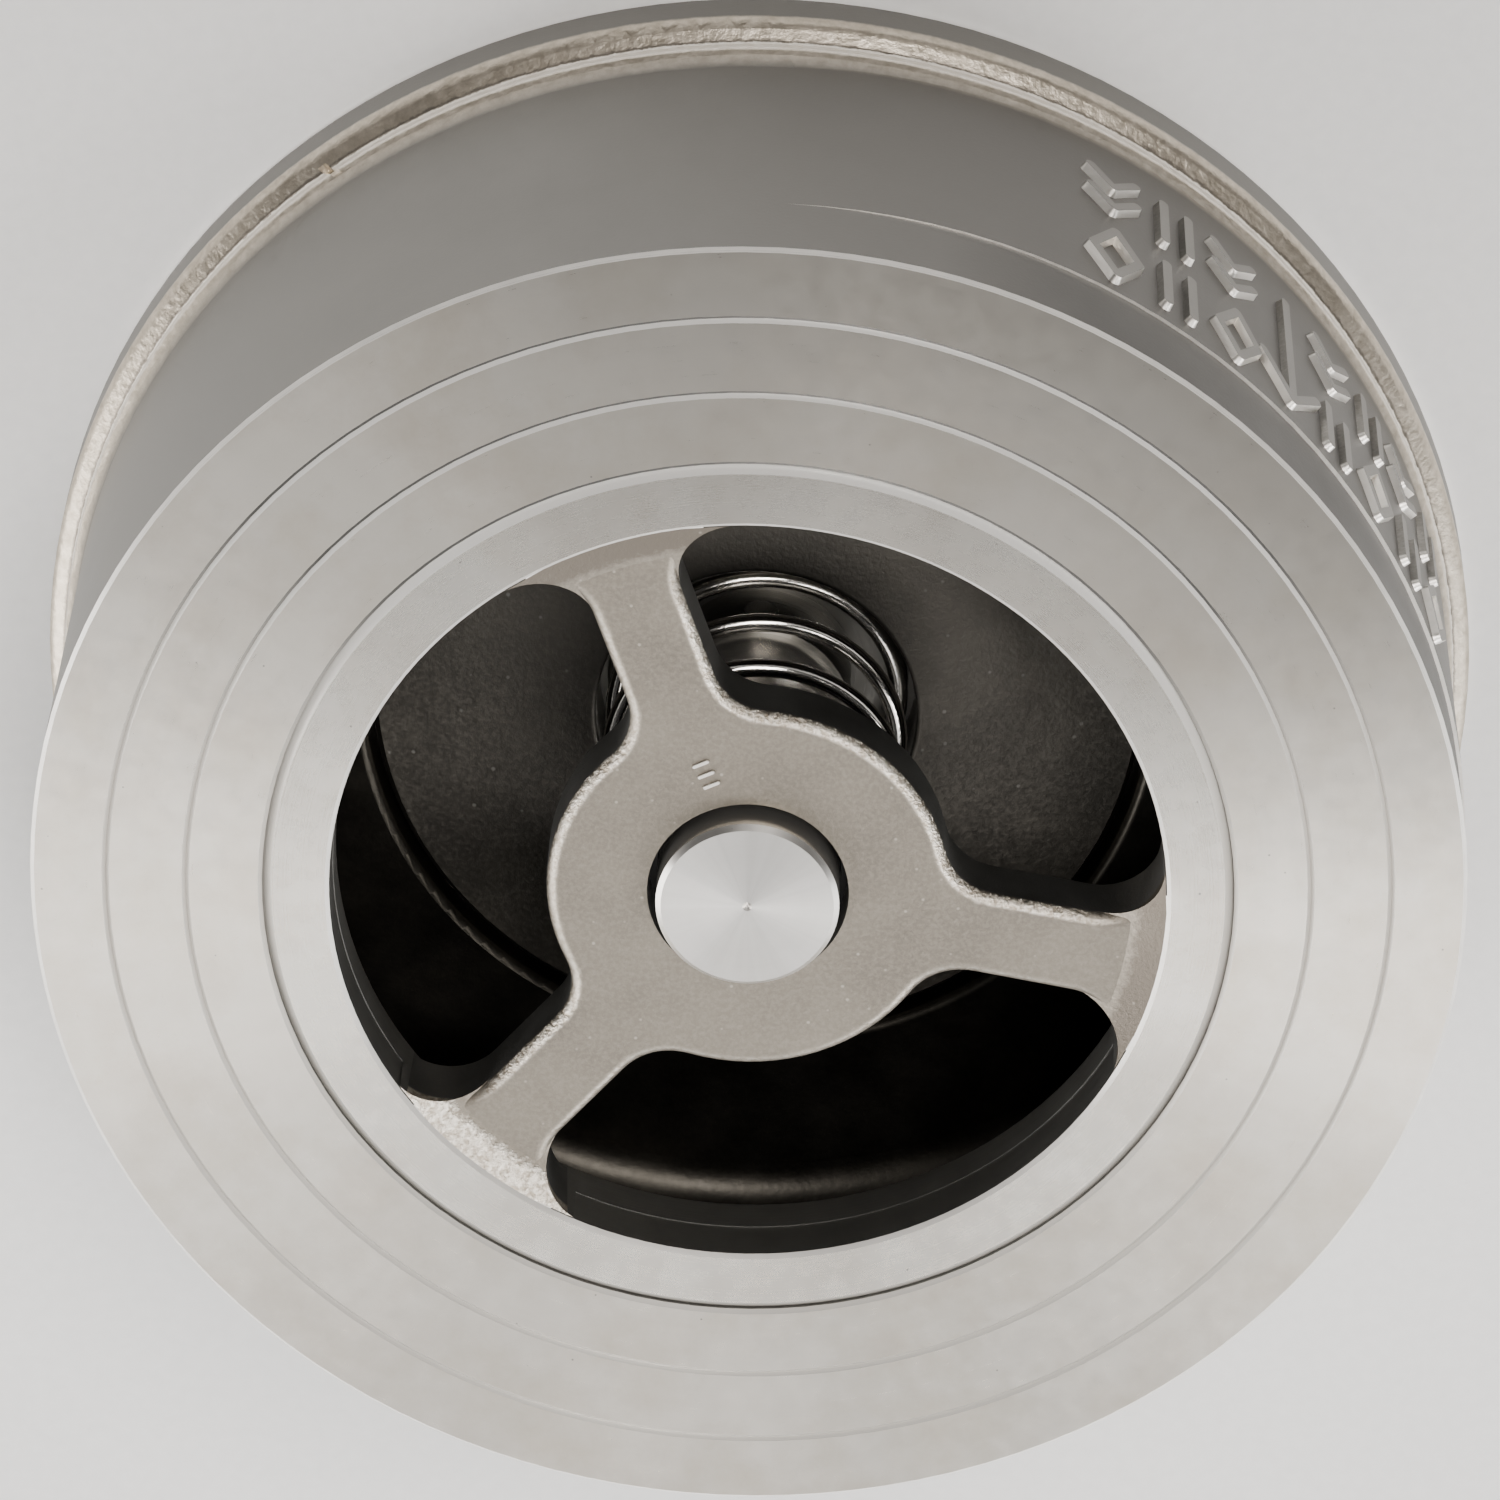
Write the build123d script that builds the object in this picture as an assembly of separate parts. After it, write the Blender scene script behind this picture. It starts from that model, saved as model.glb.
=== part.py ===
from build123d import *

import os
from math import atan2, degrees

# Wafer lift check valve, DN 65, for clamping between two pipe flanges.
# Millimetres. +Z is the flow direction, the inlet sealing face lies on z = 0,
# and the valve's axis is the Z axis.

LENGTH = 46.0  # face to face
BODY_R = 61.0
RIM_R = 63.5  # centring rim, at the inlet end
RIM_HEIGHT = 5.2
RIM_CHAMFER = 0.6
BEAD_R = 61.9  # rounded bead between the rim and the body
BEAD_BOTTOM = 6.35
BEAD_TOP = 7.4
BEAD_BLEND = 8.6
BORE_R = 32.5
CAVITY_R = 52.4
CAVITY_FLOOR = 10.0
CAVITY_ROOF = 31.5
CAST_RADIUS = 4.0  # fillets left by the casting core
ROOF_SLOPE = 3.0  # rise of the cavity's roof towards the throat
EDGE_BREAK = 0.35  # small chamfers on the turned edges

GROOVE_RADII = (47.8, 54.6)  # sealing grooves in both faces
GROOVE_DEPTH = 0.32
GROOVE_OVERCUT = 0.05  # how far the groove's cutter stands out of the face

SEAT_Z = 5.0
SEAT_OUTER_R = 35.0  # the disc's recess in the cavity floor and the seat ring share it
SEAT_RING_HEIGHT = 3.4
SEAT_CHAMFER = 0.4
LIP_RADIUS = 0.8  # rounded lip of the recess

GUIDE_R = 41.3  # outside of the outlet guide ring
GUIDE_BORE_R = 35.6
GUIDE_HEIGHT = 10.0
GUIDE_WALL = 8.4  # height of the straight inner wall
BORED_DEPTH = 4.7  # the wall is bored a little wider down to here
BORED_STEP = 0.05
GUIDE_CHAMFER = 0.8  # outer front edge of the guide ring
GUIDE_FOOT = 1.4  # radial flare of the wall's lower end
SHOULDER_R = 38.6  # body throat under the guide ring

SPIDER_TOP = 44.6  # front of the hub and arms
SPIDER_BOTTOM = 39.0
HUB_R = 17.2
HUB_HOLE_R = 8.6
ARM_WIDTH = 7.8
ARM_ANGLES = (51.0, 171.0, 291.0)
WINDOW_CORNER_R = 5.2
SPIDER_EDGE_R = 1.1
ARM_ROOT = 2.9  # radial width of the sloped arm root at the ring
BOSS_R = 11.3  # spring spigot under the hub
BOSS_BOTTOM = 30.0
TALLY_CENTRE = (4.0, -11.3)  # small cast bars on the hub's front
TALLY_ANGLE = 27.0
TALLY_LENGTH = 1.7
TALLY_WIDTH = 0.5
TALLY_PITCH = 1.1
TALLY_RISE = 0.2
TALLY_ROOT = 0.3  # how deep the bars run into the hub

DISC_R = 34.4
DISC_CROWN_R = 33.9
DISC_CROWN_Z = 8.8
DISC_RIM_TOP = 8.2
DISC_BOTTOM = 1.0
DISC_EDGE = 0.3  # small chamfer round the disc's seating face
SEAT_STEP = 0.6  # the middle of the disc's underside stands into the bore by this clearance
SEATING_GAP = 0.02
POCKET_R = 14.2
POCKET_WALL = 1.8
POCKET_LIP_RADIUS = 0.4
POCKET_FLOOR = 4.6
POCKET_LIP_Z = 13.0
SOCKET_R = 8.3  # boss in the disc that takes the stem
SOCKET_TOP = 12.0

STEM_R = 7.8
STEM_TOP = 47.0
STEM_CHAMFER = 0.45
SPIGOT_R = 5.0
SPIGOT_BOTTOM = 2.4
LOCK_PIN_R = 1.5
LOCK_PIN_Z = 8.3

LIFT = 15.0  # travel from the seat until the disc's socket meets the bush
STOP_GAP = 0.1

BUSH_R = 9.8
BUSH_TOP = 40.0
BUSH_BOTTOM = SOCKET_TOP + LIFT + STOP_GAP
RUNNING_GAP = 0.06  # radial, between stem and bush

WIRE_R = 0.8
COIL_R = 12.6
ACTIVE_TURNS = 3.5
END_PITCH = 1.7
SPRING_PHASE = 114.0

TURNED_BAND = 8.9  # the outlet end is turned true down to here
PAD_RISE = 0.35  # cast pad that carries the marks, standing out of round
PAD_ANGLE = 212.0
PAD_SHRINK = 0.4
MARK_ROOT = 0.6  # how deep the marks run into the body
MARK_R = 61.95
MARK_STROKE = 1.6  # at the root; the sides have draft
MARK_DRAFT = 12.0
MARK_PITCH = 5.9
FIRST_MARK = 243.0
UPPER_ROW_Z = 31.0
LOWER_ROW_Z = 19.0
NICK_ANGLE = 309.0  # where the casting's two halves meet on the bead


def turned(points, rounds=()):
    """Solid of revolution about Z from (radius, z) points; rounds is (corner, radius) pairs."""
    outline = Polyline(*[(r, 0, z) for r, z in points], close=True)
    section = make_face(outline)
    for corner, radius in rounds:
        r, z = corner
        vertex = section.vertices().sort_by_distance((r, 0, z))[0]
        section = fillet([vertex], radius)
    return revolve(section, Axis.Z, 360)


def groove_cutter(radius, face_z, side):
    """V-groove ring in a flat face; side is +1 when the face looks along +Z."""
    return turned([
        (radius - GROOVE_DEPTH - GROOVE_OVERCUT, face_z + side * GROOVE_OVERCUT),
        (radius, face_z - side * GROOVE_DEPTH),
        (radius + GROOVE_DEPTH + GROOVE_OVERCUT, face_z + side * GROOVE_OVERCUT),
    ])


def body_shell():
    """Turned and cast shape of the body, without its raised marks."""
    throat_top = LENGTH - GUIDE_HEIGHT
    throat_bottom = CAVITY_ROOF + ROOF_SLOPE
    seat_bottom = SEAT_Z - SEAT_RING_HEIGHT
    outline = [
        (BORE_R, 0),
        (RIM_R - RIM_CHAMFER, 0),
        (RIM_R, RIM_CHAMFER),
        (RIM_R, RIM_HEIGHT),
        (BEAD_R, BEAD_BOTTOM),
        (BEAD_R, BEAD_TOP),
        (BODY_R, BEAD_BLEND),
        (BODY_R, LENGTH - EDGE_BREAK),
        (BODY_R - EDGE_BREAK, LENGTH),
        (GUIDE_R + EDGE_BREAK, LENGTH),
        (GUIDE_R, LENGTH - EDGE_BREAK),
        (GUIDE_R, throat_top),
        (SHOULDER_R, throat_top),
        (SHOULDER_R, throat_bottom),
        (CAVITY_R, CAVITY_ROOF),
        (CAVITY_R, CAVITY_FLOOR),
        (SEAT_OUTER_R, CAVITY_FLOOR),
        (SEAT_OUTER_R, seat_bottom),
        (BORE_R, seat_bottom),
    ]
    rounds = [
        ((RIM_R, RIM_HEIGHT), 1.4),
        ((BEAD_R, BEAD_BOTTOM), 0.4),
        ((BEAD_R, BEAD_TOP), 0.5),
        ((BODY_R, BEAD_BLEND), 2.5),
        ((SHOULDER_R, throat_bottom), 1.5),
        ((CAVITY_R, CAVITY_ROOF), CAST_RADIUS),
        ((CAVITY_R, CAVITY_FLOOR), CAST_RADIUS),
        ((SEAT_OUTER_R, CAVITY_FLOOR), LIP_RADIUS),
    ]
    shell = turned(outline, rounds)
    for radius in GROOVE_RADII:
        shell -= groove_cutter(radius, LENGTH, 1)
        shell -= groove_cutter(radius, 0, -1)
    return shell


def mark_pad():
    """Cast pad: a slightly eccentric band that rises out of the body and fades at its ends."""
    rise = PAD_RISE + PAD_SHRINK
    shift = Vector(rise, 0, 0).rotate(Axis.Z, PAD_ANGLE)
    height = LENGTH - TURNED_BAND - BEAD_TOP
    band = Cylinder(BODY_R - PAD_SHRINK, height) - Cylinder(BODY_R - 2 * rise - 1, height)
    return Pos(shift.X, shift.Y, BEAD_TOP + height / 2) * band


def stroke(start, end):
    """Bar with round ends between two points of the flat drawing of a mark."""
    length = (Vector(*end) - Vector(*start)).length
    angle = degrees(atan2(end[1] - start[1], end[0] - start[0]))
    middle = (Vector(*start) + Vector(*end)) / 2
    bar = SlotOverall(length + MARK_STROKE, MARK_STROKE)
    return Pos(middle.X, middle.Y) * Rot(0, 0, angle) * bar


def diamond(half_width=2.2, half_height=4.2):
    corners = [(0, half_height), (half_width, 0), (0, -half_height), (-half_width, 0)]
    return [(corners[i], corners[(i + 1) % 4]) for i in range(4)]


def bars(count):
    gap = 2.6
    first = -gap * (count - 1) / 2
    return [((first + gap * i, -3.6), (first + gap * i, 3.6)) for i in range(count)]


def chevrons():
    return [((side * 2.2, z - 1.6), (0, z + 1.0)) for side in (-1, 1) for z in (-2.0, 2.0)]


def flow_arrow():
    """Arrow along the flow, as tall as both rows of marks."""
    return [((0, -9.5), (0, 9.5)), ((-3.4, 4.5), (0, 9.5)), ((3.4, 4.5), (0, 9.5))]


def raised_mark(strokes, angle, z):
    """One raised mark with drafted sides, from strokes drawn flat at its middle."""
    root_r = BODY_R - MARK_ROOT
    root = Plane(origin=(root_r, 0, z), x_dir=(0, 1, 0), z_dir=(1, 0, 0))
    limit = Pos(0, 0, z) * Cylinder(MARK_R, LENGTH)
    mark = Part()
    for ends in strokes:
        mark += extrude(root * stroke(*ends), MARK_R + 0.4 - root_r, taper=MARK_DRAFT)
    return Rot(0, 0, angle) * (mark & limit)


def raised_marks():
    """Generic cast marks: a flow arrow between two rows of plain shapes."""
    upper_row = (diamond(), bars(2), diamond(), None, bars(2), diamond(), bars(2), diamond())
    lower_row = (chevrons(), bars(2), chevrons(), None, chevrons(), bars(2), chevrons(), bars(2))
    marks = [raised_mark(flow_arrow(), FIRST_MARK - 3 * MARK_PITCH, (UPPER_ROW_Z + LOWER_ROW_Z) / 2)]
    for row, z in ((upper_row, UPPER_ROW_Z), (lower_row, LOWER_ROW_Z)):
        for index, strokes in enumerate(row):
            if strokes:
                marks.append(raised_mark(strokes, FIRST_MARK - index * MARK_PITCH, z))
    return marks


def parting_nick():
    """Small slanted nick across the bead at the casting's parting line."""
    cutter = Pos(BEAD_R + 0.1, 0, (BEAD_BOTTOM + BEAD_TOP) / 2) * Rot(35, 0, 0) * Box(0.9, 0.7, 3.0)
    return Rot(0, 0, NICK_ANGLE) * cutter


def valve_body():
    """One casting: rim, body, cavity, seat-ring recess, grooves, pad and marks."""
    body = body_shell() + mark_pad()
    for mark in raised_marks():
        body += mark
    return body - parting_nick()


def seat_ring():
    """Hard seat ring, pressed into the body flush with the inlet bore."""
    bottom = SEAT_Z - SEAT_RING_HEIGHT
    return turned([
        (BORE_R, bottom),
        (SEAT_OUTER_R, bottom),
        (SEAT_OUTER_R, SEAT_Z),
        (BORE_R + SEAT_CHAMFER, SEAT_Z),
        (BORE_R, SEAT_Z - SEAT_CHAMFER),
    ])


def flow_windows():
    """Flat outline of the three flow windows between the arms, with rounded corners."""
    windows = Circle(GUIDE_BORE_R - BORED_STEP) - Circle(HUB_R)
    for angle in ARM_ANGLES:
        arm = Pos(GUIDE_BORE_R / 2, 0) * Rectangle(GUIDE_BORE_R + 4, ARM_WIDTH)
        windows -= Rot(0, 0, angle) * arm
    return fillet(windows.vertices(), WINDOW_CORNER_R)


def guide_blank():
    """Guide ring before its windows are opened, with the hub's spring spigot."""
    ring_bottom = LENGTH - GUIDE_HEIGHT
    wall_bottom = LENGTH - GUIDE_WALL
    return turned([
        (HUB_HOLE_R, SPIDER_TOP),
        (GUIDE_BORE_R - ARM_ROOT, SPIDER_TOP),
        (GUIDE_BORE_R, LENGTH - EDGE_BREAK),
        (GUIDE_BORE_R + EDGE_BREAK, LENGTH),
        (GUIDE_R - GUIDE_CHAMFER, LENGTH),
        (GUIDE_R, LENGTH - GUIDE_CHAMFER),
        (GUIDE_R, ring_bottom),
        (GUIDE_BORE_R + GUIDE_FOOT, ring_bottom),
        (GUIDE_BORE_R, wall_bottom),
        (GUIDE_BORE_R - 0.6, SPIDER_BOTTOM),
        (BOSS_R, SPIDER_BOTTOM),
        (BOSS_R, BOSS_BOTTOM),
        (BUSH_R, BOSS_BOTTOM),
        (BUSH_R, BUSH_TOP),
        (HUB_HOLE_R, BUSH_TOP),
    ])


def hub_tally():
    """Three short cast bars, side by side on the hub's front."""
    bar = extrude(SlotOverall(TALLY_LENGTH, TALLY_WIDTH), TALLY_RISE + TALLY_ROOT, taper=MARK_DRAFT)
    tally = Part()
    for step in (-TALLY_PITCH, 0, TALLY_PITCH):
        tally += Pos(0, step, 0) * bar
    return Pos(*TALLY_CENTRE, SPIDER_TOP - TALLY_ROOT) * Rot(0, 0, TALLY_ANGLE) * tally


def on_window(edge):
    """True for the front edges round the windows, not the hub's hole or the arm roots."""
    middle = edge.position_at(0.5)
    radius = (middle.X**2 + middle.Y**2) ** 0.5
    return HUB_HOLE_R + 1 < radius < GUIDE_BORE_R - ARM_ROOT - 0.1


def bored_step():
    """Thin ring the boring tool takes off the wall between the arms."""
    width = 2 * BORED_DEPTH
    cut = Cylinder(GUIDE_BORE_R, width) - Cylinder(GUIDE_BORE_R - 2 * BORED_STEP, width)
    for angle in ARM_ANGLES:
        cut -= Rot(0, 0, angle) * Pos(GUIDE_BORE_R, 0) * Box(10, 2 * ARM_WIDTH, 2 * width)
    return Pos(0, 0, LENGTH) * cut


def guide_ring():
    """Outlet guide: outer ring, three arms and the hub, in one casting."""
    windows = Pos(0, 0, GUIDE_HEIGHT) * extrude(flow_windows(), LENGTH)
    guide = guide_blank() - windows - bored_step()
    front = guide.edges().filter_by_position(Axis.Z, SPIDER_TOP - 0.01, SPIDER_TOP + 0.01)
    rim_of_windows = [edge for edge in front if on_window(edge)]
    return fillet(rim_of_windows, SPIDER_EDGE_R) + hub_tally()


def guide_bush():
    """Plain bush in the hub that guides the stem; its lower end stops the lift."""
    return turned([
        (STEM_R + RUNNING_GAP, BUSH_BOTTOM),
        (BUSH_R, BUSH_BOTTOM),
        (BUSH_R, BUSH_TOP),
        (STEM_R + RUNNING_GAP, BUSH_TOP),
    ])


def disc():
    """Cast disc with a machined rim, a spring pocket and the stem's socket."""
    seating = SEAT_Z + SEATING_GAP
    outline = [
        (SPIGOT_R, SPIGOT_BOTTOM),
        (0, SPIGOT_BOTTOM),
        (0, DISC_BOTTOM),
        (POCKET_R + POCKET_WALL, DISC_BOTTOM),
        (BORE_R - 2 * SEAT_STEP, seating - SEAT_STEP),
        (BORE_R - SEAT_STEP, seating),
        (DISC_R - DISC_EDGE, seating),
        (DISC_R, seating + DISC_EDGE),
        (DISC_R, DISC_RIM_TOP),
        (DISC_CROWN_R, DISC_CROWN_Z),
        (POCKET_R, POCKET_LIP_Z),
        (POCKET_R, POCKET_FLOOR),
        (SOCKET_R, POCKET_FLOOR),
        (SOCKET_R, SOCKET_TOP),
        (SPIGOT_R, SOCKET_TOP),
    ]
    rounds = [
        ((POCKET_R, POCKET_LIP_Z), POCKET_LIP_RADIUS),
        ((POCKET_R + POCKET_WALL, DISC_BOTTOM), 3.0),
    ]
    return turned(outline, rounds) - lock_pin_hole()


def stem():
    """Turned stem with a centre mark in its end and a spigot screwed into the disc."""
    solid = turned([
        (0, SPIGOT_BOTTOM),
        (SPIGOT_R, SPIGOT_BOTTOM),
        (SPIGOT_R, SOCKET_TOP),
        (STEM_R, SOCKET_TOP),
        (STEM_R, STEM_TOP - STEM_CHAMFER),
        (STEM_R - STEM_CHAMFER, STEM_TOP),
        (0, STEM_TOP),
    ])
    centre_mark = turned([(0, STEM_TOP + 0.1), (0.5, STEM_TOP + 0.1), (0, STEM_TOP - 0.5)])
    return solid - centre_mark - lock_pin_hole()


def lock_pin_hole():
    """Cross hole through the disc's socket and the stem's spigot."""
    return Pos(0, 0, LOCK_PIN_Z) * Rot(90, 0, 0) * Cylinder(LOCK_PIN_R, 2 * SOCKET_R + 2)


def stem_lock_pin():
    """Pin that keeps the stem from unscrewing; its ends are flush with the socket."""
    pin = Pos(0, 0, LOCK_PIN_Z) * Rot(90, 0, 0) * Cylinder(LOCK_PIN_R, 2 * SOCKET_R + 2)
    return pin & Cylinder(SOCKET_R, 4 * SOCKET_TOP)


def spring():
    """Compression spring with closed end coils, between the disc's pocket and the hub."""
    low = POCKET_FLOOR + WIRE_R
    high = SPIDER_BOTTOM - WIRE_R
    active = high - low - 2 * END_PITCH
    pitch = active / ACTIVE_TURNS
    spans = [
        (low, END_PITCH, END_PITCH, 0),
        (low + END_PITCH, pitch, active, 0),
        (high - END_PITCH, END_PITCH, END_PITCH, 360 * ACTIVE_TURNS),
    ]
    coil = None
    for start, span_pitch, height, turned_by in spans:
        path = Helix(span_pitch, height, COIL_R)
        profile = Plane(path @ 0, z_dir=path % 0) * Circle(WIRE_R)
        piece = Pos(0, 0, start) * Rot(0, 0, turned_by) * sweep(profile, path, is_frenet=True)
        coil = piece if coil is None else coil + piece
    return Rot(0, 0, SPRING_PHASE) * coil


NODES = {
    "valve_body": valve_body,
    "seat_ring": seat_ring,
    "guide_ring": guide_ring,
    "guide_bush": guide_bush,
    "disc": disc,
    "stem": stem,
    "stem_lock_pin": stem_lock_pin,
    "spring": spring,
}

os.makedirs("parts", exist_ok=True)
for name, make in NODES.items():
    export_step(make(), f"parts/{name}.step")
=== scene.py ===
import math

import bpy
from mathutils import Euler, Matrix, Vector


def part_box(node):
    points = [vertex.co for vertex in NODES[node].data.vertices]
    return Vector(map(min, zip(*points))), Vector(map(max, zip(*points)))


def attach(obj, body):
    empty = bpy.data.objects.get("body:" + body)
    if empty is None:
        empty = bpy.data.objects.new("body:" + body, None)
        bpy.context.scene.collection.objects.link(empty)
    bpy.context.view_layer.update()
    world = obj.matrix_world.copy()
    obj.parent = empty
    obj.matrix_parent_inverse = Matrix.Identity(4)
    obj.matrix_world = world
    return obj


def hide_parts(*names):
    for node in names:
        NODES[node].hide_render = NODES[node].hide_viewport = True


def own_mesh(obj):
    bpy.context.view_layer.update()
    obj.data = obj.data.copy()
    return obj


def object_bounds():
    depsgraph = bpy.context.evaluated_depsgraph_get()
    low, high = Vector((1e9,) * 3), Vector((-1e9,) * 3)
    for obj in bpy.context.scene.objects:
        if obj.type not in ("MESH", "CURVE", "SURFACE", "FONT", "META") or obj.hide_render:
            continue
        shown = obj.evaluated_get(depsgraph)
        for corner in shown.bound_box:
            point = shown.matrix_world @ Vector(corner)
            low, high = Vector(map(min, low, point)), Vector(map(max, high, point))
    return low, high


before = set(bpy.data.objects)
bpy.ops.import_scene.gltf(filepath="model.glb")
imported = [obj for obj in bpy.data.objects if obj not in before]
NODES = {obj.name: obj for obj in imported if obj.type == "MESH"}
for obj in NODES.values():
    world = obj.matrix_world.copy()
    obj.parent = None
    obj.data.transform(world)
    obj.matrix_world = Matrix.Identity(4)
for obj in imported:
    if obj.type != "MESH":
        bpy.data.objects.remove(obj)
cad_low, cad_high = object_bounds()
MM = 0.001

OUTLET_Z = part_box("valve_body")[1].z
STEM_END_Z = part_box("stem")[1].z

# Places on the valve where a finish changes: heights and radii in millimetres, azimuths in radians.
FACE_Z = OUTLET_Z / MM
TURNED_Z = FACE_Z - 8.9  # the side is turned true above this height
FRONT_Z = FACE_Z - 1.4  # front of the hub and arms
CUT_DEPTH = 0.6  # the body's grooves and broken edges lie within this depth of a face
RING_EDGE_DEPTH = 0.5  # the same for the guide ring's inner edge
RING_CHAMFER_DEPTH = 1.0  # and for its outer chamfer
GUIDE_SEAT_Z = FACE_Z - 10.1  # just under the guide ring's lower end
RIM_CAST_Z = 4.1  # the rim is turned below, cast above
CREASE_Z = 6.1
BEAD_Z = 6.3
SIDE_Z = 9.0  # the cast marks lie above, the bead's slope below
SIDE_R = 60.0
MARK_TOP_R = 61.95
BORE_R = 32.6
GUIDE_SEAT_R = 41.0
GUIDE_EDGE_R = 40.0
GUIDE_WALL_R = 35.3
SLOPE_R = 32.7  # an arm's front begins to rise towards the ring here
TALLY_REACH = 20.0  # the hub's small cast bars lie inside this radius
HUB_HOLE_R = 8.8
DISC_EDGE_R = 33.8
DISC_LAND_R = 31.0
DISC_LAND_Z = 5.4
POCKET_R = 14.3
POCKET_LOW_Z = 2.0
POCKET_HIGH_Z = 12.8
STEM_CAP = 0.6  # depth of the stem's turned end
# azimuth of the cast marks' pad, towards which the side also carries painted shade
PAD_AZIMUTH = math.radians(212.0)
# azimuth of the arm whose root slope gets the painted highlight
HIGHLIT_ARM_AZIMUTH = math.radians(51.0)
# azimuth towards which the turned faces carry painted shade
SHADED_FACE_AZIMUTH = math.radians(246.0)


# ---------------------------------------------------------------- node trees
def set_range(node, low, high, out_low, out_high):
    """Fills in the four limits of a Map Range node."""
    node.inputs["From Min"].default_value = low
    node.inputs["From Max"].default_value = high
    node.inputs["To Min"].default_value = out_low
    node.inputs["To Max"].default_value = out_high


def times(factor, colour):
    return tuple(factor * part for part in colour)


class Shader:
    """A Principled material with short calls for its procedural inputs."""

    def __init__(self, name, metallic, roughness, **sockets):
        self.material = bpy.data.materials.new(name)
        self.material.use_nodes = True
        self.nodes = self.material.node_tree.nodes
        self.links = self.material.node_tree.links
        self.bsdf = self.nodes["Principled BSDF"]
        self.bsdf.inputs["Metallic"].default_value = metallic
        self.bsdf.inputs["Roughness"].default_value = roughness
        for socket, value in sockets.items():
            self.bsdf.inputs[socket].default_value = value
        texture = self.nodes.new("ShaderNodeTexCoord")
        in_millimetres = self.nodes.new("ShaderNodeVectorMath")
        in_millimetres.operation = "MULTIPLY"
        in_millimetres.inputs[1].default_value = (1 / MM, 1 / MM, 1 / MM)
        self.links.new(texture.outputs["Object"], in_millimetres.inputs[0])
        self.place = in_millimetres.outputs[0]
        self.relief = None

    def feed(self, socket, value):
        """Links an output to a socket, or sets a plain number or colour on it."""
        if isinstance(value, bpy.types.NodeSocket):
            self.links.new(value, socket)
        else:
            socket.default_value = value

    def math(self, operation, a, b=0.0):
        node = self.nodes.new("ShaderNodeMath")
        node.operation = operation
        self.feed(node.inputs[0], a)
        self.feed(node.inputs[1], b)
        return node.outputs[0]

    def product(self, *factors):
        total = factors[0]
        for factor in factors[1:]:
            total = self.math("MULTIPLY", total, factor)
        return total

    def axis_parts(self):
        """(x, y, z, distance from the valve's axis), in millimetres."""
        node = self.nodes.new("ShaderNodeSeparateXYZ")
        self.feed(node.inputs[0], self.place)
        x, y, z = node.outputs
        squares = self.math("ADD", self.product(x, x), self.product(y, y))
        return x, y, z, self.math("SQRT", squares)

    def heading(self, x, y, r, azimuth):
        """1 towards an azimuth, 0 square to it and -1 on the far side."""
        along = self.math("ADD", self.product(x, math.cos(azimuth)), self.product(y, math.sin(azimuth)))
        return self.math("DIVIDE", along, r)

    def facing(self):
        """(x, y, z) of the surface's own direction."""
        geometry = self.nodes.new("ShaderNodeNewGeometry")
        node = self.nodes.new("ShaderNodeSeparateXYZ")
        self.feed(node.inputs[0], geometry.outputs["Normal"])
        return node.outputs

    def vector(self, x, y, z):
        node = self.nodes.new("ShaderNodeCombineXYZ")
        self.feed(node.inputs[0], x)
        self.feed(node.inputs[1], y)
        self.feed(node.inputs[2], z)
        return node.outputs[0]

    def noise(self, size, detail, rough, where=None):
        """Noise whose largest feature is about size millimetres across."""
        node = self.nodes.new("ShaderNodeTexNoise")
        self.feed(node.inputs["Vector"], where if where is not None else self.place)
        node.inputs["Scale"].default_value = 1 / size
        node.inputs["Detail"].default_value = detail
        node.inputs["Roughness"].default_value = rough
        return node.outputs["Fac"]

    def cells(self, size):
        """Distance to the nearest scattered point, in cells of about size millimetres."""
        node = self.nodes.new("ShaderNodeTexVoronoi")
        self.feed(node.inputs["Vector"], self.place)
        node.inputs["Scale"].default_value = 1 / size
        return node.outputs["Distance"]

    def ramp(self, value, low, high):
        """Colour ramp between two (position, colour) stops."""
        node = self.nodes.new("ShaderNodeValToRGB")
        self.feed(node.inputs["Fac"], value)
        for element, (position, colour) in zip(node.color_ramp.elements, (low, high)):
            element.position = position
            element.color = (*colour, 1)
        return node.outputs["Color"]

    def mix(self, factor, a, b):
        node = self.nodes.new("ShaderNodeMix")
        node.data_type = "RGBA"
        self.feed(node.inputs[0], factor)
        for socket, value in ((node.inputs[6], a), (node.inputs[7], b)):
            is_colour = isinstance(value, tuple)
            self.feed(socket, (*value, 1) if is_colour else value)
        return node.outputs[2]

    def between(self, value, low, high, out_low=0.0, out_high=1.0):
        """out_low up to low, out_high from high on, and straight between them."""
        node = self.nodes.new("ShaderNodeMapRange")
        node.clamp = True
        self.feed(node.inputs["Value"], value)
        set_range(node, low, high, out_low, out_high)
        return node.outputs[0]

    def bump(self, height, depth):
        """Adds relief of about depth millimetres."""
        node = self.nodes.new("ShaderNodeBump")
        node.inputs["Distance"].default_value = depth * MM
        self.feed(node.inputs["Height"], height)
        if self.relief is not None:
            self.links.new(self.relief, node.inputs["Normal"])
        self.relief = node.outputs["Normal"]

    def done(self, colour, roughness=None):
        self.feed(self.bsdf.inputs["Base Color"], colour)
        if roughness is not None:
            self.feed(self.bsdf.inputs["Roughness"], roughness)
        if self.relief is not None:
            self.links.new(self.relief, self.bsdf.inputs["Normal"])
        return self.material


def turned_about_axis(shader):
    """Stretches highlights as fine rings about the valve's axis do."""
    quarter_turn = 0.25
    node = shader.nodes.new("ShaderNodeTangent")
    node.direction_type = "RADIAL"
    node.axis = "Z"
    shader.links.new(node.outputs[0], shader.bsdf.inputs["Tangent"])
    shader.bsdf.inputs["Anisotropic Rotation"].default_value = quarter_turn


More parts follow.
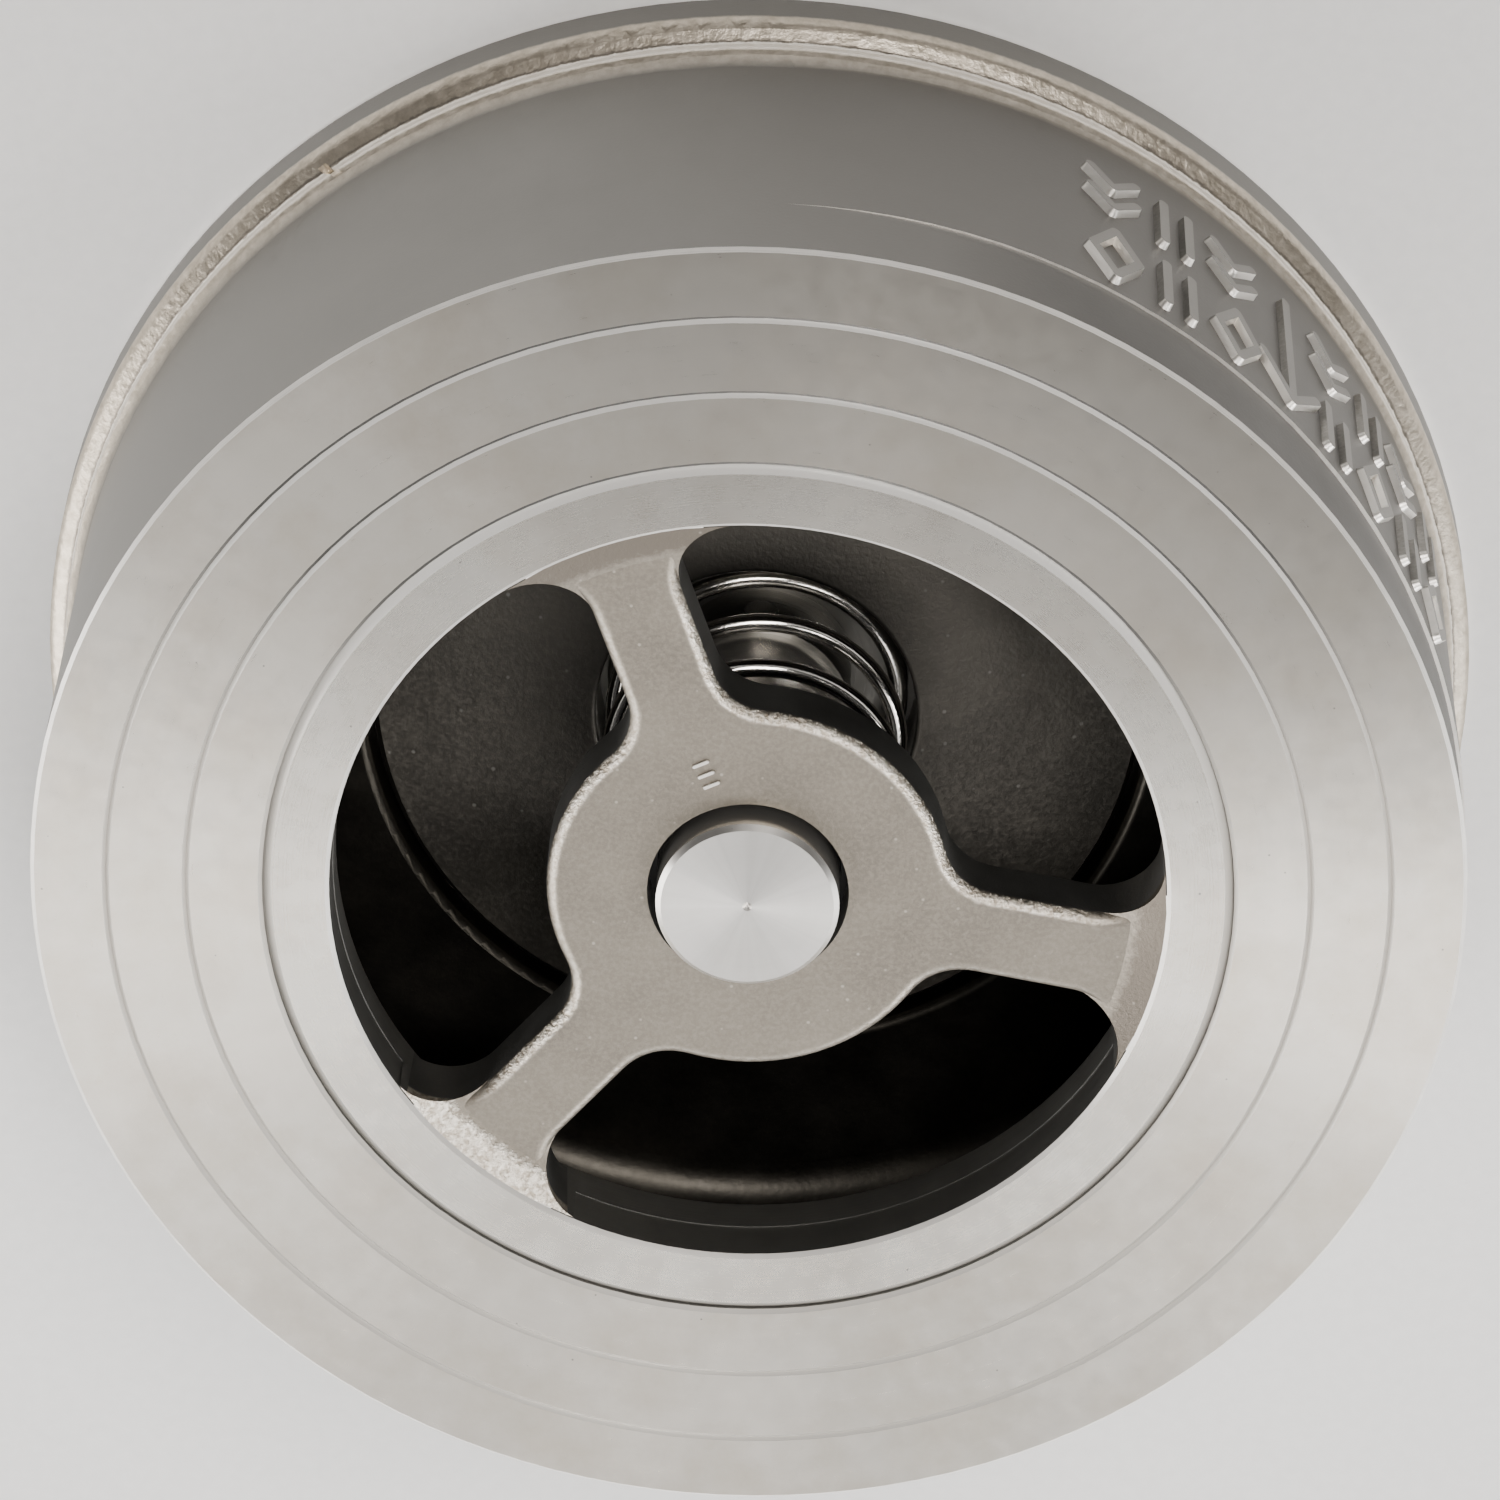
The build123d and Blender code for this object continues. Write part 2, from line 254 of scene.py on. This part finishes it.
# ---------------------------------------------------------------- materials
def turned_face(name, bright, stain, anisotropic=0.72, roughness=0.30):
    """Flat turned steel: fine rings about the axis, soft mottling, a few specks, darker radial sector patches
    as painted sheen, and painted shade on one side.
    """
    s = Shader(name, 1.0, roughness, Anisotropic=anisotropic)
    turned_about_axis(s)
    x, y, z, r = s.axis_parts()
    rings = s.vector(s.product(r, 7.0), s.product(z, 7.0), 0.0)
    fine = s.noise(1.0, 4.0, 0.7, where=rings)
    coarse = s.noise(9.0, 3.0, 0.6, where=rings)
    mottled = s.noise(11.0, 6.0, 0.66)
    clouds = s.noise(2.2, 4.0, 0.6)
    # painted sheen: darker radial sectors in the colour stand for the turned face's uneven sheen
    around = s.vector(s.math("DIVIDE", x, r), s.math("DIVIDE", y, r), s.product(r, 0.003))
    sectors = s.noise(0.30, 4.0, 0.6, where=around)
    base = s.ramp(mottled, (0.30, stain), (0.58, bright))
    base = s.mix(s.between(clouds, 0.35, 0.7, 0.0, 0.14), base, stain)
    base = s.mix(s.between(coarse, 0.3, 0.7, 0.0, 0.06), base, (0.42, 0.41, 0.39))
    specks = s.between(s.cells(3.4), 0.018, 0.035, 0.7, 0.0)
    base = s.mix(specks, base, (0.12, 0.11, 0.10))
    base = s.mix(s.between(sectors, 0.45, 0.65, 0.0, 0.22), base, times(0.62, bright))
    # painted shade: the face is darker on one side (the azimuth set at the top), more so towards the rim
    shaded_face_side = s.between(s.heading(x, y, r, SHADED_FACE_AZIMUTH), 0.45, 0.98)
    painted_face_shade = s.product(shaded_face_side, s.between(r, 36.0, 60.0, 0.35, 0.92))
    base = s.mix(painted_face_shade, base, times(0.36, bright))
    ring_rough = s.between(fine, 0.3, 0.7, roughness - 0.03, roughness + 0.04)
    rough = s.math("ADD", ring_rough, s.between(clouds, 0.3, 0.7, -0.02, 0.03))
    s.bump(fine, 0.0018)
    s.bump(clouds, 0.004)
    return s.done(base, rough)


def shaded_cavity_skin(name, light, dark):
    """The cavity's cast skin, coloured very dark as painted shade of the deep cavity: an even matt grain with
    faint blotches.
    """
    s = Shader(name, 1.0, 0.40)
    grains = s.noise(0.6, 2.0, 0.6)
    blotches = s.noise(9.0, 4.0, 0.6)
    base = s.ramp(blotches, (0.3, dark), (0.7, light))
    base = s.mix(s.between(grains, 0.35, 0.7, 0.0, 0.3), base, times(1.25, light))
    s.bump(grains, 0.02)
    s.bump(s.noise(3.0, 3.0, 0.5), 0.03)
    return s.done(base, s.between(blotches, 0.3, 0.7, 0.35, 0.46))


def sand_cast(name, light, dark):
    """The disc's cast skin: fine sandy grain, light specks, and a painted shadow of the hub darkening it
    towards the spring's pocket.
    """
    s = Shader(name, 1.0, 0.52)
    _, y, _, r = s.axis_parts()
    sand = s.noise(0.5, 3.0, 0.65)
    clouds = s.noise(10.0, 4.0, 0.6)
    base = s.ramp(clouds, (0.3, dark), (0.7, light))
    base = s.mix(s.between(sand, 0.45, 0.75, 0.0, 0.45), base, times(1.45, light))
    specks = s.between(s.cells(2.4), 0.05, 0.10, 0.6, 0.0)
    base = s.mix(specks, base, (0.80, 0.78, 0.74))
    # painted shadow: the hub's shadow, darkest near the pocket on the -Y side; set by radius, so it also
    # darkens the disc's underside
    painted_hub_shadow = s.product(s.between(r, 14.5, 27.0, 1.0, 0.0), s.between(y, -14.0, 10.0, 1.0, 0.35))
    base = s.mix(painted_hub_shadow, base, times(0.07, dark))
    s.bump(sand, 0.05)
    s.bump(s.noise(2.5, 3.0, 0.5), 0.06)
    return s.done(base, s.between(sand, 0.3, 0.7, 0.47, 0.60))


def cast_guide(name):
    """Arms and hub: matt skin, walls painted darker as shade, edges with wear and a painted highlight, a
    sandy slope where an arm meets the ring painted highlit on one arm and shaded on the others, and the hub's
    small bars painted near-white as a highlight.
    """
    s = Shader(name, 1.0, 0.5)
    x, y, z, r = s.axis_parts()
    across, along, up = s.facing()
    grains = s.noise(0.42, 4.0, 0.72)
    lumps = s.noise(0.55, 3.0, 0.7)
    blotches = s.noise(9.0, 4.0, 0.6)
    skin = s.ramp(blotches, (0.3, (0.25, 0.226, 0.19)), (0.7, (0.295, 0.268, 0.226)))
    skin = s.mix(s.between(grains, 0.42, 0.66, 0.0, 0.55), skin, (0.39, 0.352, 0.30))
    # painted shade: the walls get a darker, greyer copy of the casting's skin
    wall = s.ramp(blotches, (0.3, (0.19, 0.19, 0.185)), (0.7, (0.24, 0.24, 0.232)))
    cream = s.ramp(lumps, (0.38, (0.54, 0.47, 0.38)), (0.58, (1.0, 0.94, 0.84)))
    on_front = s.product(s.between(up, 0.05, 0.35), s.between(z, FRONT_Z - 1.25, FRONT_Z - 1.15))
    base = s.mix(on_front, wall, skin)

    ragged = s.math("ADD", up, s.between(lumps, 0.3, 0.7, -0.12, 0.12))
    rounded = s.product(s.between(ragged, 0.22, 0.45), s.between(up, 0.93, 0.995, 1.0, 0.0))
    clear_of_roots = s.between(r, 27.0, 32.4, 1.0, 0.0)
    # wear with a painted highlight: the cream edge colour is full on edges facing -Y, towards the camera-side
    # lamp, and a quarter elsewhere
    near = s.math("ADD", s.product(along, -0.9), s.product(across, -0.35))
    at_edge = s.between(z, FRONT_Z - 1.2, FRONT_Z - 1.0)
    wear_and_highlight = s.product(rounded, clear_of_roots, at_edge, s.between(near, -0.25, 0.2, 0.25, 1.0))
    base = s.mix(wear_and_highlight, base, cream)

    uneven_r = s.math("ADD", r, s.between(lumps, 0.3, 0.7, -0.35, 0.35))
    slope = s.product(s.between(uneven_r, SLOPE_R + 0.2, SLOPE_R + 1.0), s.between(z, FRONT_Z - 0.3, FRONT_Z))
    # painted light: the slope is cream as a painted highlight on the arm towards the azimuth set at the top,
    # and dark brown as painted shade on the other arms
    highlit_arm = s.between(s.heading(x, y, r, HIGHLIT_ARM_AZIMUTH), 0.5, 0.8)
    base = s.mix(slope, base, s.mix(highlit_arm, (0.185, 0.163, 0.137), cream))

    # painted highlight: the hub's small cast bars are coloured near-white
    near_hub = s.between(r, TALLY_REACH, TALLY_REACH + 1.0, 1.0, 0.0)
    tally = s.product(s.between(z, FRONT_Z + 0.04, FRONT_Z + 0.12), near_hub)
    base = s.mix(tally, base, (0.93, 0.90, 0.85))
    specks = s.between(s.cells(1.7), 0.05, 0.11, 0.55, 0.0)
    base = s.mix(s.product(specks, s.between(up, 0.9, 0.99)), base, (0.62, 0.57, 0.50))

    shiny = s.math("MAXIMUM", wear_and_highlight, s.product(slope, highlit_arm))
    s.bump(grains, 0.05)
    s.bump(s.product(lumps, shiny), 0.24)
    rough = s.between(blotches, 0.3, 0.7, 0.45, 0.56)
    return s.done(base, s.math("SUBTRACT", rough, s.product(shiny, 0.08)))


def groove_walls(name):
    """Small cut flanks as painted reflections: white where they look at the near side, black where they look
    away, fading behind.
    """
    s = Shader(name, 0.25, 0.34)
    _, y, z, r = s.axis_parts()
    _, along, _ = s.facing()
    lines = s.noise(1.0, 3.0, 0.7, where=s.vector(s.product(r, 8.0), 0.0, s.product(z, 8.0)))
    plain = s.ramp(lines, (0.3, (0.56, 0.54, 0.50)), (0.7, (0.66, 0.63, 0.58)))
    near = s.between(y, -30.0, 20.0, 1.0, 0.25)
    # painted reflection: flanks facing +Y are coloured black, flanks facing -Y white, mostly on the near side
    base = s.mix(s.product(near, s.between(along, 0.1, 0.45)), plain, (0.03, 0.03, 0.028))
    base = s.mix(s.product(near, s.between(along, -0.45, -0.1, 1.0, 0.0)), base, (0.98, 0.97, 0.94))
    s.bump(lines, 0.003)
    return s.done(base, s.between(lines, 0.3, 0.7, 0.28, 0.40))


def mark_sides(name):
    """Drafted sides of the cast marks: grey, with a painted highlight on the upward-facing upper edge."""
    s = Shader(name, 1.0, 0.42)
    _, _, up = s.facing()
    grains = s.noise(0.4, 3.0, 0.6)
    base = s.ramp(grains, (0.3, (0.20, 0.195, 0.183)), (0.7, (0.30, 0.292, 0.275)))
    # painted highlight: upward-facing parts of the sides are coloured near-white
    base = s.mix(s.between(up, 0.15, 0.55), base, (0.97, 0.94, 0.89))
    s.bump(grains, 0.03)
    return s.done(base, s.between(grains, 0.3, 0.7, 0.38, 0.46))


def outside(name):
    """From the rim up: smooth rim, beige cast slope brightened as a painted highlight, dark crease as painted
    shade, pale bead as a painted highlight, fine grey side with painted shade towards the pad's side, turned
    band.
    """
    s = Shader(name, 1.0, 0.45)
    x, y, z, r = s.axis_parts()
    ragged = s.math("ADD", z, s.between(s.noise(0.8, 3.0, 0.6), 0.3, 0.7, -0.07, 0.07))
    grains = s.noise(0.35, 2.0, 0.6)
    lumps = s.noise(0.9, 3.0, 0.6)
    blotches = s.noise(12.0, 4.0, 0.6)
    side = s.ramp(blotches, (0.3, (0.20, 0.196, 0.184)), (0.7, (0.24, 0.235, 0.222)))
    smooth = s.ramp(blotches, (0.3, (0.19, 0.184, 0.172)), (0.7, (0.22, 0.214, 0.20)))
    beige = s.ramp(lumps, (0.3, (0.48, 0.425, 0.345)), (0.7, (0.70, 0.63, 0.53)))
    cream = s.ramp(lumps, (0.3, (0.92, 0.86, 0.77)), (0.7, (1.0, 0.96, 0.89)))
    cast = s.between(ragged, RIM_CAST_Z, RIM_CAST_Z + 0.4)
    crease_end = s.between(ragged, BEAD_Z, BEAD_Z + 0.1, 1.0, 0.0)
    crease = s.product(s.between(ragged, CREASE_Z, CREASE_Z + 0.1), crease_end)
    bead_end = s.between(ragged, BEAD_Z + 1.0, BEAD_Z + 1.3, 1.0, 0.0)
    bead = s.product(s.between(ragged, BEAD_Z, BEAD_Z + 0.1), bead_end)
    above = s.between(ragged, BEAD_Z + 1.3, BEAD_Z + 3.1)
    # partly the cast skin's tan, brightened far beyond the cast side as a painted highlight
    base = s.mix(cast, smooth, beige)
    # painted highlight: the bead is coloured pale cream
    base = s.mix(bead, base, cream)
    # painted shade: the crease between slope and bead is darkened
    base = s.mix(crease, base, (0.30, 0.27, 0.23))
    base = s.mix(above, base, side)

    toward_pad = s.heading(x, y, r, PAD_AZIMUTH)
    # painted shade: the side above the bead is darkened towards the pad's azimuth
    base = s.mix(s.product(s.between(toward_pad, 0.2, 0.8), above, 0.6), base, (0.105, 0.10, 0.094))
    band = s.product(s.between(z, TURNED_Z - 0.02, TURNED_Z + 0.02), s.between(toward_pad, 0.70, 0.84))
    base = s.mix(band, base, (0.105, 0.102, 0.096))
    raised = s.product(s.between(r, MARK_TOP_R - 0.12, MARK_TOP_R - 0.05), above)
    base = s.mix(raised, base, (0.25, 0.243, 0.228))

    cast_only = s.product(cast, s.math("SUBTRACT", 1.0, above))
    s.feed(s.bsdf.inputs["Metallic"], s.math("SUBTRACT", 1.0, s.product(bead, 0.5)))
    s.bump(grains, 0.014)
    s.bump(s.product(lumps, cast_only), 0.09)
    rough = s.between(blotches, 0.3, 0.7, 0.44, 0.52)
    return s.done(base, s.math("SUBTRACT", rough, s.product(cast_only, 0.07)))


def polished(name, colour, roughness, scratch=0.003, metallic=1.0):
    """Turned or drawn steel with faint lines round the axis."""
    s = Shader(name, metallic, roughness)
    _, _, z, r = s.axis_parts()
    lines = s.vector(s.product(r, 6.0), 0.0, s.product(z, 6.0))
    fine = s.noise(1.0, 3.0, 0.7, where=lines)
    clouds = s.noise(4.0, 3.0, 0.5)
    base = s.ramp(clouds, (0.3, times(0.86, colour)), (0.7, colour))
    s.bump(fine, scratch)
    return s.done(base, s.between(fine, 0.3, 0.7, roughness * 0.7, roughness * 1.4))


FACE = turned_face("turned_face", (0.84, 0.80, 0.73), (0.70, 0.64, 0.55))
RING_FACE = turned_face("turned_ring_face", (0.86, 0.83, 0.77), (0.74, 0.69, 0.62), roughness=0.27)
GROOVE = groove_walls("groove_wall")
# broken edges: bright cut steel, made near-white and part matt as a painted highlight so they read as bright
# lines
BROKEN_EDGE = polished("broken_edge", (0.94, 0.92, 0.88), 0.34, metallic=0.4)
OUTSIDE = outside("body_outside")
MARK_SIDE = mark_sides("mark_side")
# painted shade: the cavity skin is far darker than the cast skin outside
CAVITY = shaded_cavity_skin("shaded_cavity_skin", (0.075, 0.07, 0.06), (0.045, 0.042, 0.037))
SPIDER = cast_guide("guide_casting")
BORE_WALL = polished("bored_wall", (0.33, 0.33, 0.32), 0.42, scratch=0.006)
DISC_SKIN = sand_cast("disc_skin", (0.35, 0.33, 0.295), (0.26, 0.248, 0.226))
DISC_RIM = polished("disc_rim", (0.40, 0.385, 0.36), 0.32)
POCKET = polished("pocket_turned", (0.20, 0.195, 0.18), 0.32)
STEM_SIDE = polished("stem_side", (0.82, 0.80, 0.76), 0.18, metallic=0.9)
STEM_END = turned_face("stem_end", (0.99, 0.97, 0.94), (0.93, 0.91, 0.87), anisotropic=0.4, roughness=0.34)
WIRE = polished("spring_wire", (0.76, 0.74, 0.71), 0.12)
LINER = polished("bush_graphite", (0.05, 0.05, 0.05), 0.4)
SEAT = polished("seat_face", (0.70, 0.69, 0.67), 0.18)
PIN = polished("pin_steel", (0.62, 0.62, 0.62), 0.2)


def paint(node, materials, choose):
    """Gives each face of a CAD node the material that choose(middle, normal, radius) names."""
    mesh = NODES[node].data
    mesh.materials.clear()
    for material in materials:
        mesh.materials.append(material)
    for face in mesh.polygons:
        middle = face.center / MM
        radius = math.hypot(middle.x, middle.y)
        face.material_index = materials.index(choose(middle, face.normal, radius))


def near_a_face(height, depth):
    """True within depth millimetres of the inlet or the outlet face."""
    return height < depth or height > FACE_Z - depth


def body_finish(middle, normal, radius):
    outward = (normal.x * middle.x + normal.y * middle.y) / max(radius, 1.0)
    if abs(normal.z) > 0.98 and near_a_face(middle.z, 0.1):
        return FACE
    if radius < BORE_R:
        return BORE_WALL
    if near_a_face(middle.z, CUT_DEPTH):
        return BROKEN_EDGE if radius > SIDE_R else GROOVE
    if radius > SIDE_R:
        return MARK_SIDE if outward < 0.9 and middle.z > SIDE_Z else OUTSIDE
    return BORE_WALL if radius > GUIDE_SEAT_R and middle.z > GUIDE_SEAT_Z else CAVITY


def guide_finish(middle, normal, radius):
    if normal.z > 0.98 and middle.z > FACE_Z - 0.1:
        return RING_FACE
    if radius > GUIDE_EDGE_R and middle.z > FACE_Z - RING_CHAMFER_DEPTH:
        return GROOVE
    if radius > GUIDE_WALL_R + 0.2 and middle.z > FACE_Z - RING_EDGE_DEPTH:
        return BROKEN_EDGE
    if radius > GUIDE_WALL_R and abs(normal.z) < 0.5:
        return BORE_WALL
    return BORE_WALL if radius < HUB_HOLE_R else SPIDER


def disc_finish(middle, normal, radius):
    if radius > DISC_EDGE_R or middle.z < DISC_LAND_Z and radius > DISC_LAND_R:
        return DISC_RIM
    inside_pocket = radius < POCKET_R and POCKET_LOW_Z < middle.z < POCKET_HIGH_Z
    return POCKET if inside_pocket else DISC_SKIN


def stem_finish(middle, normal, radius):
    return STEM_END if middle.z > STEM_END_Z / MM - STEM_CAP else STEM_SIDE


def plain(node, material):
    """Gives a whole CAD node one material."""
    NODES[node].data.materials.clear()
    NODES[node].data.materials.append(material)


paint("valve_body", [FACE, BROKEN_EDGE, GROOVE, OUTSIDE, MARK_SIDE, CAVITY, BORE_WALL], body_finish)
paint("guide_ring", [RING_FACE, BROKEN_EDGE, GROOVE, SPIDER, BORE_WALL], guide_finish)
paint("disc", [DISC_SKIN, DISC_RIM, POCKET], disc_finish)
paint("stem", [STEM_SIDE, STEM_END], stem_finish)
plain("spring", WIRE)
plain("guide_bush", LINER)
plain("seat_ring", SEAT)
plain("stem_lock_pin", PIN)


def live_spring():
    """A copy of the CAD coil, attached to the housing; it stands for the rigid CAD coil, which is hidden."""
    coil = bpy.data.objects.new("spring_coil", NODES["spring"].data.copy())
    bpy.context.scene.collection.objects.link(coil)
    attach(coil, "housing")
    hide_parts("spring")
    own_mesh(coil)


live_spring()


# ---------------------------------------------------------------- stage
def floor():
    """Wide pale paper just under the valve."""
    reach = 6.0
    drop = -0.0002
    corners = [(x * reach, y * reach, drop) for x, y in ((-1, -1), (1, -1), (1, 1), (-1, 1))]
    mesh = bpy.data.meshes.new("floor")
    mesh.from_pydata(corners, [], [(0, 1, 2, 3)])
    obj = bpy.data.objects.new("floor", mesh)
    bpy.context.scene.collection.objects.link(obj)
    s = Shader("floor_paper", 0.0, 0.9)
    grain = s.noise(1.5, 3.0, 0.6)
    mesh.materials.append(s.done(s.ramp(grain, (0.3, (0.90, 0.90, 0.895)), (0.7, (0.94, 0.94, 0.935)))))


def softbox(name, direction, distance, size, power, warmth=0.0):
    """Rectangular area light at a distance from the valve's middle, in a direction, facing the valve."""
    light = bpy.data.lights.new(name, "AREA")
    light.shape = "RECTANGLE"
    light.size, light.size_y = size
    light.energy = power
    light.color = (1.0, 1.0 - 0.5 * warmth, 1.0 - warmth)
    obj = bpy.data.objects.new(name, light)
    bpy.context.scene.collection.objects.link(obj)
    centre = (cad_low + cad_high) / 2
    away = Vector(direction).normalized()
    obj.location = centre + away * distance
    obj.rotation_mode = "QUATERNION"
    obj.rotation_quaternion = away.to_track_quat("Z", "Y")


def surroundings():
    """Dim room with a bright band at the horizon, except on the main camera's side."""
    world = bpy.data.worlds.new("studio")
    bpy.context.scene.world = world
    world.use_nodes = True
    nodes, links = world.node_tree.nodes, world.node_tree.links

    def ranged(source, low, high, out_low, out_high):
        node = nodes.new("ShaderNodeMapRange")
        node.interpolation_type = "SMOOTHSTEP"
        links.new(source, node.inputs["Value"])
        set_range(node, low, high, out_low, out_high)
        return node.outputs[0]

    def combined(operation, a, b):
        node = nodes.new("ShaderNodeMath")
        node.operation = operation
        links.new(a, node.inputs[0])
        if isinstance(b, float):
            node.inputs[1].default_value = b
        else:
            links.new(b, node.inputs[1])
        return node.outputs[0]

    texture = nodes.new("ShaderNodeTexCoord")
    split = nodes.new("ShaderNodeSeparateXYZ")
    links.new(texture.outputs["Generated"], split.inputs[0])
    height = ranged(split.outputs["Z"], 0.05, 0.40, 1.1, 0.0)
    away = ranged(split.outputs["Y"], -0.35, 0.25, 0.0, 1.0)
    strength = combined("ADD", combined("MULTIPLY", height, away), 0.06)
    links.new(strength, nodes["Background"].inputs["Strength"])
    nodes["Background"].inputs["Color"].default_value = (1.0, 0.99, 0.97, 1)


def camera():
    """Long lens, high up on the -Y side and turned upside down, as in the photo."""
    data = bpy.data.cameras.new("camera")
    data.sensor_width = 36.0
    data.lens = 188.0
    data.clip_start, data.clip_end = 0.05, 50.0
    obj = bpy.data.objects.new("camera", data)
    bpy.context.scene.collection.objects.link(obj)
    aim = Vector((0.0004, -0.0146, OUTLET_Z))
    distance = 0.658
    elevation = math.radians(61.32)
    roll = math.radians(177.25)
    back = Vector((0, -math.cos(elevation), math.sin(elevation)))
    obj.location = aim + back * distance
    obj.rotation_mode = "QUATERNION"
    level = back.to_track_quat("Z", "Y")
    obj.rotation_quaternion = level @ Euler((0, 0, -roll)).to_quaternion()
    bpy.context.scene.camera = obj


floor()
surroundings()
softbox("back", (0, 0.575, 0.82), 1.2, (2.6, 0.23), 5.3, 0.05)
softbox("low_back", (0, 0.9, 0.40), 1.3, (2.4, 0.4), 8.0)
softbox("high_left", (0.62, 0.48, 0.62), 1.2, (0.5, 0.5), 6.5, 0.05)
softbox("high_right", (-0.62, 0.48, 0.62), 1.2, (0.5, 0.5), 7.5, 0.05)
softbox("left", (1.0, 0.4, 0.26), 1.2, (0.9, 0.6), 10.0, 0.08)
softbox("right", (-1.0, 0.55, 0.26), 1.2, (0.9, 0.6), 4.0)
softbox("camera_side", (-0.16, -0.50, 0.84), 1.1, (0.34, 0.40), 7.5, 0.10)
softbox("high_side", (-0.41, -0.05, 0.91), 1.2, (0.2, 0.2), 1.6, 0.08)
camera()
